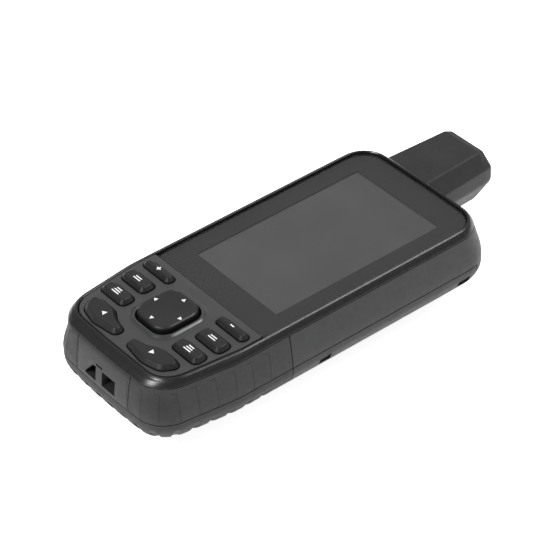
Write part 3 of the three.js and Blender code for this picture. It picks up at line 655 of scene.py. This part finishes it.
def mid_housing():
    piece = join(body(), loft("neck", [antenna_ring(ANTENNA["neck_y"], ANTENNA_BASE),
                                       antenna_ring(ANTENNA_LOW[1] - GAP, ANTENNA_BASE)]))
    seat = loft("seat", [antenna_ring(ANTENNA_LOW[1] - GAP, ANTENNA_BASE, -GAP),
                         antenna_ring(ANTENNA_LOW[1] + 12, ANTENNA_BASE, -GAP)])
    under = block(-FAR, FAR, -FAR, Y_COVER_TOP + GAP, -FAR, Z_SEAM + GAP / 2)
    place_for_block = block(-X_BLOCK, X_BLOCK, -FAR, BLOCK_Y + GAP, Z_SEAM - 1, FAR)
    cut(piece, under, cavity(), bumper_zone(SIDE_SKIN, GAP), seat, place_for_block)
    low, high = box("power_key")
    key_slot = block(-FAR, high[0] - 0.5, low[1] + 0.5, high[1] - 0.5, low[2] + 0.5, high[2] - 0.5)
    lens_low, lens_high = box("torch_lens")
    lens = (lens_low + lens_high) / 2
    torch = turned(rod(lens_high[0] - lens[0] + 0.3, 12), Matrix.Rotation(math.pi / 2, 4, "Z"))
    placed(torch, lens[0], lens_high[1] + 1.6, lens[2])
    return cut(piece, key_slot, torch, hole_for("usb_cap", 0.35), hole_for("usb_socket", 0.5))


def lanyard_block():
    piece = keep(body(), block(-X_BLOCK + GAP, X_BLOCK - GAP, -FAR, BLOCK_Y, Z_SEAM + GAP / 2, FAR))
    z0, z1 = LANYARD_Z
    left = np.array([(LANYARD_X[0], z0), (BAR_X[0], z0), (BAR_X[0], z1), (LANYARD_X[0] + 3.9, z1),
                     (LANYARD_X[0], z0 + 0.8)], float)
    right = np.array([(BAR_X[1], z0), (LANYARD_X[1], z0), (LANYARD_X[1], z1), (BAR_X[1], z1)], float)
    throat = block(*LANYARD_X, BAR_BACK_Y, LANYARD_DEEP_Y, z0, z1)
    slit = block(*BAR_X, -FAR, Y_LOW + 1.9, 24.9, 25.6)
    mouths = [along_y(mouth, -FAR, LANYARD_DEEP_Y) for mouth in (left, right)]
    return cut(piece, *mouths, throat, slit, cavity(BLOCK_FLOOR))


def front_bezel():
    deep = inset(GROOVE, 0.5)
    lip = inset(GROOVE, 2.2)
    skirt = outline(dict(inset(WALL_TOP, 2.2), yB=-76.5))
    rings = [
        at(outline(WALL_TOP), Z_WALL_TOP + GAP),
        at(outline(between(WALL_TOP, RIM, 0.28)), Z_WALL_TOP + 0.95),
        at(outline(between(WALL_TOP, RIM, 0.62)), Z_WALL_TOP + 1.65),
        at(outline(between(WALL_TOP, RIM, 0.88)), Z_RIM - 0.5),
        at(outline(inset(RIM, -0.05)), Z_RIM - 0.34),
        at(outline(inset(RIM, 0.42)), Z_RIM),
        at(outline(inset(GROOVE, -0.35)), Z_RIM),
        at(outline(GROOVE), Z_RIM - 0.35),
        at(outline(GROOVE), Z_LEDGE + 1),
        at(outline(deep), Z_LEDGE + 1),
        at(outline(deep), Z_LEDGE),
        at(outline(lip), Z_LEDGE),
        at(outline(lip), Z_LEDGE - 1),
        at(skirt, Z_LEDGE - 1),
        at(skirt, Z_WALL_TOP + GAP),
    ]
    return loft("bezel", rings, closed=True, soften=0.07, levels=1)


def rear_cover():
    piece = keep(body(), block(-FAR, FAR, -FAR, Y_COVER_TOP, -FAR, Z_SEAM - GAP / 2))
    hollow = keep(body(COVER_THICK), block(-FAR, FAR, -FAR, Y_COVER_TOP - 1.4, -FAR, FAR))
    shaft = placed(turned(rod(LATCH_HOLE_R, 20), Matrix.Rotation(math.pi / 2, 4, "Y")), 0, LATCH_Y, 8)
    cut(piece, hollow, shaft, bumper_zone(REAR_SKIN, GAP))
    for y0, y1 in GRIP["ys"]:
        for side in (1, -1):
            x0, x1 = sorted((side * (HALF_W - GRIP["deep"]), side * FAR))
            cut(piece, block(x0, x1, y0, y1, GRIP["low"], GRIP["high"]))
    return piece


def rear_bumper():
    piece = keep(bumper_zone(REAR_SKIN, 0), body())
    keep(piece, block(-FAR, FAR, -FAR, FAR, -FAR, Z_SEAM - GAP / 2))
    return cut(piece, *treads())


def antenna():
    y0, y1 = ANTENNA_LOW[1], ANTENNA_HIGH[1]
    rings = [antenna_ring(y0, ANTENNA_BASE), antenna_ring(y1 - 3.6, ANTENNA_TIP),
             antenna_ring(y1 - 1.2, ANTENNA_TIP, 0.8, 0.4), antenna_ring(y1 - 0.35, ANTENNA_TIP, 1.7, 0.8),
             antenna_ring(y1, ANTENNA_TIP, 2.9, 1.6)]
    return loft("antenna", rings, soften=0.3, levels=2)


# ---- display and keypad -------------------------------------------------------------------------


def window_outline(d=0.0):
    low, high = box("display_window")
    w = high[0]
    top = high[1] - 0.4
    points = rounded([(-w + d, low[1] + d, 2.6), (w - d, low[1] + d, 2.6), (w - d, top - d, 7.8 - d),
                      (-w + d, top - d, 7.8 - d)], steps=8, side=6)
    high_end = points[:, 1] > 0
    points[high_end, 1] += 0.4 * np.clip(1 - (points[high_end, 0] / w) ** 2, 0, 1)
    return points


def display_window():
    rings = [at(window_outline(0.1), Z_GLASS - 1), at(window_outline(), Z_GLASS - 0.85),
             at(window_outline(), Z_GLASS - 0.18), at(window_outline(0.2), Z_GLASS)]
    return loft("window", rings, soften=0.06, levels=1)


def window_border():
    """The dark border printed on the back of the window, round the lit part of the display."""
    low, high = box("lcd_panel")
    centre_y, half_x, half_y = (low[1] + high[1]) / 2 + 1.4, 20.1, 33.5
    hole = prism(oblong(-half_x, half_x, centre_y - half_y, centre_y + half_y, 0.3), 0, FAR)
    return cut(prism(window_outline(0.05), Z_GLASS - 0.95, Z_GLASS - 0.9, "border"), hole)


def key_outline(node):
    low, high = box(node)
    return oblong(low[0], high[0], low[1], high[1], 1.7 if high[1] - low[1] < 5 else 2.0, 6, 3)


def arc_key_outline():
    """The right-hand one of the two lowest keys, which wrap round the rocker."""
    low = box("key_enter")[0]
    x0, y0 = low[0], low[1] + 0.9
    corners = [(0, 0, 2.0), (9.9, -1.4, 8), (17, 0.2, 4), (20.6, 6.2, 2.0),
               (16, 7.2, 2.5), (9.3, 7.1, 5), (5.8, 4.8, 9), (0, 3.6, 1.6)]
    return rounded([(x0 + x, y0 + y, r) for x, y, r in corners], steps=5, side=2)


ROCKER_LOW, ROCKER_HIGH = box("rocker_pad")
ROCKER_Y = (ROCKER_LOW[1] + ROCKER_HIGH[1]) / 2
ROCKER_W = ROCKER_HIGH[0]
ROCKER_H = (ROCKER_HIGH[1] - ROCKER_LOW[1]) / 2


def rocker_outline(d, r):
    w, h = ROCKER_W + d, ROCKER_H + d
    return oblong(-w, w, ROCKER_Y - h, ROCKER_Y + h, r, 8, 4)


def key_shapes():
    shapes = {}
    for left, right in (("zoom_in", "zoom_out"), ("find", "page"), ("mark", "menu")):
        shapes["key_" + right] = key_outline("key_" + right)
        shapes["key_" + left] = mirrored(shapes["key_" + right])
    shapes["key_enter"] = arc_key_outline()
    shapes["key_quit"] = mirrored(shapes["key_enter"])
    return shapes


def key_cap(name, shape):
    foot = Z_KEY - 3.5
    rings = [at(shape, foot), at(shape, Z_KEY - 1.35), at(grow(shape, -0.16), Z_KEY - 1.12),
             at(grow(shape, -0.98), Z_KEY - 0.12), at(grow(shape, -1.3), Z_KEY)]
    return loft(name, rings, soften=0.07, levels=2)


def plate_outline(d=0.0):
    o = inset(GROOVE, 0.35 + d)
    y_cut = box("display_window")[0][1] - 0.35 - d
    half = [(o["xB"], o["yB"], o["rB"]), (o["w"], o["yC"], 12), (o["w"], y_cut, 0.8)]
    points = rounded(half + [(-x, y, r) for x, y, r in reversed(half)], steps=8, side=5)
    low = points[:, 1] < o["yC"]
    points[low, 1] -= o["cb"] * np.clip(1 - (points[low, 0] / o["xB"]) ** 2, 0, 1)
    return points


def keypad_plate(shapes):
    """The plate with its key openings, and the raised rim round the rocker."""
    def openings():
        return [prism(grow(shape, GAP), 29, 40) for shape in shapes.values()]

    plate = loft("plate", [at(plate_outline(), 31), at(plate_outline(), Z_PLATE - 0.3),
                           at(plate_outline(0.12), Z_PLATE - 0.08), at(plate_outline(0.4), Z_PLATE)])
    rim_steps = [(2.7, 6, 31.4), (2.7, 6, Z_PLATE - 0.06), (1.9, 5.7, Z_PLATE + 0.22),
                 (1.35, 5.5, Z_PLATE + 0.62), (0.85, 5.1, Z_PLATE + 0.7), (0.6, 4.9, Z_PLATE + 0.5),
                 (0.6, 4.9, 31.4)]
    rim = loft("lip", [at(rocker_outline(d, r), z) for d, r, z in rim_steps],
               closed=True, soften=0.1, levels=1)
    cut(plate, prism(rocker_outline(0.62, 4.9), 29, 40))
    return cut(plate, *openings()), cut(rim, *openings())


def rocker_pad():
    """The rocker's cap, with a shallow dish in its top."""
    steps = [(-0.6, 4.2, 30.5), (0, 4.6, 31.6), (0, 4.6, Z_TOP - 0.75), (-0.2, 4.5, Z_TOP - 0.3),
             (-0.65, 4.2, Z_TOP), (-1.3, 3.8, Z_TOP - 0.03), (-3.4, 2.6, Z_TOP - 0.2),
             (-5.4, 1.6, Z_TOP - 0.3), (-6.8, 0.7, Z_TOP - 0.33)]
    return loft("rocker", [at(rocker_outline(d, r), z) for d, r, z in steps], soften=0.1, levels=2)


# ---- marks --------------------------------------------------------------------------------------


def mark(name, shapes, z, rides_with, thick=0.05):
    """Small inked shapes lying on a key, as one thin piece."""
    pieces = [prism(np.array(s, float), z - thick, z + 0.03, name) for s in shapes]
    piece = pieces[0]
    if len(pieces) > 1:
        join(piece, *pieces[1:])
    return add_trim(piece, name, rides_with, INK, NODE_SLOT[rides_with])


def bar_shape(x, y, w, h):
    return [(x - w / 2, y - h / 2), (x + w / 2, y - h / 2), (x + w / 2, y + h / 2), (x - w / 2, y + h / 2)]


def triangle(x, y, r, heading):
    return [(x + r * math.cos(heading + a), y + r * math.sin(heading + a))
            for a in (0, 2 * math.pi / 3, 4 * math.pi / 3)]


def marks(shapes):
    def middle(node):
        shape = shapes[node]
        return (shape.min(0) + shape.max(0)) / 2

    x, y = middle("key_zoom_in")
    mark("mark_plus", [bar_shape(x, y, 1.7, 0.45), bar_shape(x, y, 0.45, 1.7)], Z_KEY, "key_zoom_in")
    x, y = middle("key_zoom_out")
    mark("mark_minus", [bar_shape(x, y, 1.7, 0.45)], Z_KEY, "key_zoom_out")
    for node, count in (("key_find", 2), ("key_page", 2), ("key_mark", 3), ("key_menu", 3)):
        x, y = middle(node)
        rows = [bar_shape(x, y + (k - (count - 1) / 2) * 0.9, 3.4 - 0.5 * k, 0.4) for k in range(count)]
        mark("marks_" + node, rows, Z_KEY, node)
    x, y = middle("key_enter")
    mark("marks_key_enter", [triangle(x, y, 1.1, 0)], Z_KEY, "key_enter")
    x, y = middle("key_quit")
    mark("marks_key_quit", [triangle(x, y, 1.1, math.pi)], Z_KEY, "key_quit")
    reach = ROCKER_W - 1.5
    arrows = [triangle(reach * math.cos(a), ROCKER_Y + reach * math.sin(a), 0.85, a)
              for a in (0, math.pi / 2, math.pi, -math.pi / 2)]
    for k, arrow in enumerate(arrows):
        mark(f"rocker_arrow_{k + 1}", [arrow], Z_TOP - 0.02, "rocker_pad", thick=0.3)


# ---- small pieces -------------------------------------------------------------------------------


def soft_box(node, r, soften=0.15, along="z"):
    """The node's own box with softened edges, and round corners along one axis."""
    low, high = box(node)
    a, b, c = {"y": (2, 0, 1), "z": (0, 1, 2)}[along]
    shape = oblong(low[a], high[a], low[b], high[b], r, 5, 3)
    rings = []
    for level in (low[c], high[c]):
        ring = np.empty((len(shape), 3))
        ring[:, a], ring[:, b], ring[:, c] = shape[:, 0], shape[:, 1], level
        rings.append(ring)
    return loft(node + "_soft", rings, soften=soften, levels=2)


def mount_spine():
    """The mounting rail: a wide foot under a narrower waist, with countersunk screw holes."""
    low, high = box("mount_spine")
    w, y0, y1 = high[0], low[1], high[1]
    lip = 1.9
    foot = oblong(-w, w, y0, y1, 2.4, 6, 4)
    waist = oblong(-w + 3.6, w - 3.6, y0 + 1.2, y1 - 1.2, 1.6, 6, 4)
    rail = loft("spine", [at(foot, 0), at(foot, lip), at(waist, lip), at(waist, high[2])],
                soften=0.2, levels=1)
    sinks = []
    for node in ("spine_screw_1", "spine_screw_2"):
        screw_low, screw_high = box(node)
        y = (screw_low[1] + screw_high[1]) / 2
        for radius, length, z in ((2.7, 4, 0.4), (1.3, 12, 4)):
            sink = turned(rod(radius, length), Matrix.Rotation(math.pi / 2, 4, "Y"))
            sinks.append(placed(sink, 0, y, z))
    return cut(rail, *sinks)


def power_key():
    """The side key: a soft-edged face on a thin flange that stays behind the wall."""
    low, high = box("power_key")
    shape = oblong(low[1] + POWER_LIP, high[1] - POWER_LIP, low[2] + POWER_LIP, high[2] - POWER_LIP,
                   1.2, 6, 4)
    steps = [(high[0] - POWER_LIP, 0), (low[0] + 0.35, 0), (low[0] + 0.08, 0.3), (low[0], 0.8),
             (low[0] + 0.2, 1.5)]
    rings = [np.column_stack([np.full(len(shape), x), grow(shape, -d)]) for x, d in steps]
    face = loft("power", rings, soften=0.06, levels=2)
    return join(face, block(high[0] - POWER_FLANGE, high[0], low[1], high[1], low[2], high[2]))


def screw(node):
    """A pan-head screw pointing up, with a six-sided socket."""
    low, high = box(node)
    x, y, z = (low[0] + high[0]) / 2, (low[1] + high[1]) / 2, low[2]
    a = np.linspace(0, 2 * math.pi, 32, endpoint=False)
    rings = [at(np.column_stack([x + r * np.cos(a), y + r * np.sin(a)]), z + h)
             for r, h in ((1.5, 0), (1.85, 0.12), (2, 0.45), (2, 1.4), (0.95, 1.4), (0.95, high[2] - z))]
    b = np.linspace(0, 2 * math.pi, 6, endpoint=False)
    socket = prism(np.column_stack([x + np.cos(b), y + np.sin(b)]), z - 1, z + 0.6)
    return cut(loft(node + "_soft", rings), socket)


def latch():
    """The cover's latch: a disc on a shaft, with two ears that hold the pull ring's pin."""
    low, high = box("cover_latch")
    disc_z0, disc_z1 = 2.7, Z_BACK - GAP
    a = np.linspace(0, 2 * math.pi, 72, endpoint=False)
    circle = np.column_stack([np.cos(a), np.sin(a)])

    def ring(r, z):
        return at(circle * r + [0, LATCH_Y], z)

    disc = loft("latch", [ring(8.9, disc_z0), ring(9.4, disc_z0 + 0.2), ring(9.5, disc_z1 - 0.2),
                          ring(9.5, disc_z1), ring(3, disc_z1), ring(3, high[2])])
    ears = []
    for s in (-1, 1):
        x0, x1 = sorted((s * 5.8, s * 7.8))
        ear = oblong(x0, x1, RING_PIVOT_Y - 1.7, RING_PIVOT_Y + 1.7, 0.4, 4)
        ears.append(prism(ear, low[2], disc_z0 + 0.3))
    eye = placed(rod(1.1, 30), 0, RING_PIVOT_Y, RING_PIVOT_Z)
    return cut(join(disc, *ears), eye)


def pull_ring():
    """A round wire bent into a D, with its pin."""
    low, high = box("d_ring")
    wire = 0.85
    arm = 4.6
    foot = low[1] + wire
    corners = [(-arm, RING_PIVOT_Y, 0.9), (-arm, RING_PIVOT_Y - 5.2, 4), (-arm * 0.55, foot, 2.4),
               (arm * 0.55, foot, 2.4), (arm, RING_PIVOT_Y - 5.2, 4), (arm, RING_PIVOT_Y, 0.9)]
    path = rounded(corners, steps=6, side=3)
    n = len(path)
    around = np.linspace(0, 2 * math.pi, 14, endpoint=False)
    rings = []
    for i in range(n):
        on = unit(path[(i + 1) % n] - path[i - 1])
        side = np.array([on[1], -on[0], 0])
        centre = np.array([path[i][0], path[i][1], RING_PIVOT_Z])
        rings.append(np.array([centre + wire * (math.cos(t) * side + math.sin(t) * np.array([0, 0, 1]))
                               for t in around]))
    loop = loft("pull_ring", rings, closed=True)
    pin = placed(rod(wire - 0.02, high[0] - low[0]), 0, RING_PIVOT_Y, RING_PIVOT_Z)
    return join(loop, pin)


def torch_lens():
    low, high = box("torch_lens")
    x, z = (low[0] + high[0]) / 2, (low[2] + high[2]) / 2
    r = high[0] - x
    a = np.linspace(0, 2 * math.pi, 40, endpoint=False)
    steps = [(r, low[1]), (r, high[1] - 0.35), (r - 0.3, high[1] - 0.05), (r - 0.9, high[1] - 0.3),
             (0.3, high[1] - 0.5)]
    return loft("torch", [np.column_stack([x + q * np.cos(a), np.full(len(a), y), z + q * np.sin(a)])
                          for q, y in steps])


def build():
    stands_for(mid_housing(), "mid_housing").name = "housing_shell"
    stands_for(cut(lanyard_block(), ribs()), "lanyard_block").name = "lanyard_end"
    for node, side in (("left_bumper", -1), ("right_bumper", 1)):
        stands_for(cut(side_bumper(side), ribs()), node).name = node + "_skin"
    stands_for(front_bezel(), "front_bezel").name = "bezel_frame"
    stands_for(rear_cover(), "rear_cover").name = "rear_shell"
    stands_for(rear_bumper(), "rear_bumper").name = "rear_treads"
    stands_for(antenna(), "antenna_housing").name = "antenna_stub"
    stands_for(display_window(), "display_window").name = "window"
    add_trim(window_border(), "window_border", "display_window", PRINT, "bezel_gloss")
    shapes = key_shapes()
    plate, rim = keypad_plate(shapes)
    stands_for(plate, "keypad_plate").name = "keypad_face"
    add_trim(rim, "rocker_rim", "keypad_plate", POLISHED, "keypad_grey")
    for node, shape in shapes.items():
        stands_for(key_cap(node + "_cap", shape), node)
    stands_for(rocker_pad(), "rocker_pad").name = "rocker"
    marks(shapes)
    stands_for(mount_spine(), "mount_spine").name = "mount_rail"
    for node in NODE_BODY:
        if "screw" in node:
            stands_for(screw(node), node)
    stands_for(power_key(), "power_key").name = "side_key"
    stands_for(latch(), "cover_latch").name = "latch_disc"
    stands_for(pull_ring(), "d_ring").name = "pull_ring"
    stands_for(torch_lens(), "torch_lens").name = "torch_glass"
    stands_for(soft_box("usb_cap", 0.9, 0.12, "y"), "usb_cap").name = "socket_cap"
    stands_for(soft_box("battery_pack", 4, 0.5), "battery_pack").name = "battery"
    stands_for(soft_box("memory_card", 0.8, 0.06), "memory_card").name = "card"


def finish_carried_nodes():
    """The CAD nodes that stay visible get their slot's procedural material."""
    for node, slot in NODE_SLOT.items():
        carried = frame["nodes"][node]
        if carried.hide_render:
            continue
        carried.data.materials.clear()
        carried.data.materials.append(MATERIALS[slot])


# ---- studio -------------------------------------------------------------------------------------

AIM = Vector((-0.14, -12.16, 25)) * MM
AZIMUTH, ELEVATION, ROLL = (math.radians(a) for a in (52.673, 38.67, -2.527))
DISTANCE = 789.7 * MM
LENS = 161.7


def camera():
    forward = Vector((-math.sin(AZIMUTH) * math.cos(ELEVATION), math.cos(AZIMUTH) * math.cos(ELEVATION),
                      -math.sin(ELEVATION)))
    right = forward.cross(Vector((0, 0, 1))).normalized()
    up = right.cross(forward)
    level_right = right.copy()
    right = level_right * math.cos(ROLL) + up * math.sin(ROLL)
    up = up * math.cos(ROLL) - level_right * math.sin(ROLL)
    turn = Matrix((right, up, -forward)).transposed()
    lens = bpy.data.cameras.new("camera")
    lens.lens = LENS
    lens.sensor_width = 36
    lens.clip_start = 0.01
    eye = bpy.data.objects.new("camera", lens)
    eye.matrix_world = Matrix.Translation(AIM - forward * DISTANCE) @ turn.to_4x4()
    bpy.context.scene.collection.objects.link(eye)
    bpy.context.scene.camera = eye


def area_light(name, place, size, power):
    lamp = bpy.data.lights.new(name, "AREA")
    lamp.shape = "RECTANGLE"
    lamp.size, lamp.size_y = size
    lamp.energy = power
    holder = bpy.data.objects.new(name, lamp)
    holder.location = place
    holder.rotation_euler = (AIM - Vector(place)).to_track_quat("-Z", "Y").to_euler()
    bpy.context.scene.collection.objects.link(holder)


def studio():
    floor = mesh_object("floor", [(-4000, -4000, 0), (4000, -4000, 0), (4000, 4000, 0), (-4000, 4000, 0)],
                        [(0, 1, 2, 3)])
    look = Look("floor_paper")
    paper = look.mix(look.noise(60, 2), (0.93, 0.93, 0.93), (0.95, 0.95, 0.95))
    look.link(paper, look.shader.inputs["Base Color"])
    look.shader.inputs["Roughness"].default_value = 0.8
    look.shader.inputs["Emission Color"].default_value = (1, 1, 1, 1)
    look.shader.inputs["Emission Strength"].default_value = 0.85
    look.bump(look.noise(2, 3), 0.01)
    floor.data.materials.append(look.material)
    world = bpy.data.worlds.new("studio")
    world.use_nodes = True
    world.node_tree.nodes["Background"].inputs["Color"].default_value = (1, 1, 1, 1)
    world.node_tree.nodes["Background"].inputs["Strength"].default_value = 0.36
    bpy.context.scene.world = world
    area_light("key", (0.35, 0.6, 1.0), (0.5, 0.5), 8)
    area_light("front", (-0.05, -0.8, 0.95), (0.3, 0.3), 12)
    area_light("back", (-0.8, 0.6, 0.8), (1.4, 1.4), 2.5)
    bpy.context.scene.view_settings.view_transform = "Standard"


camera()
studio()
build()
finish_carried_nodes()
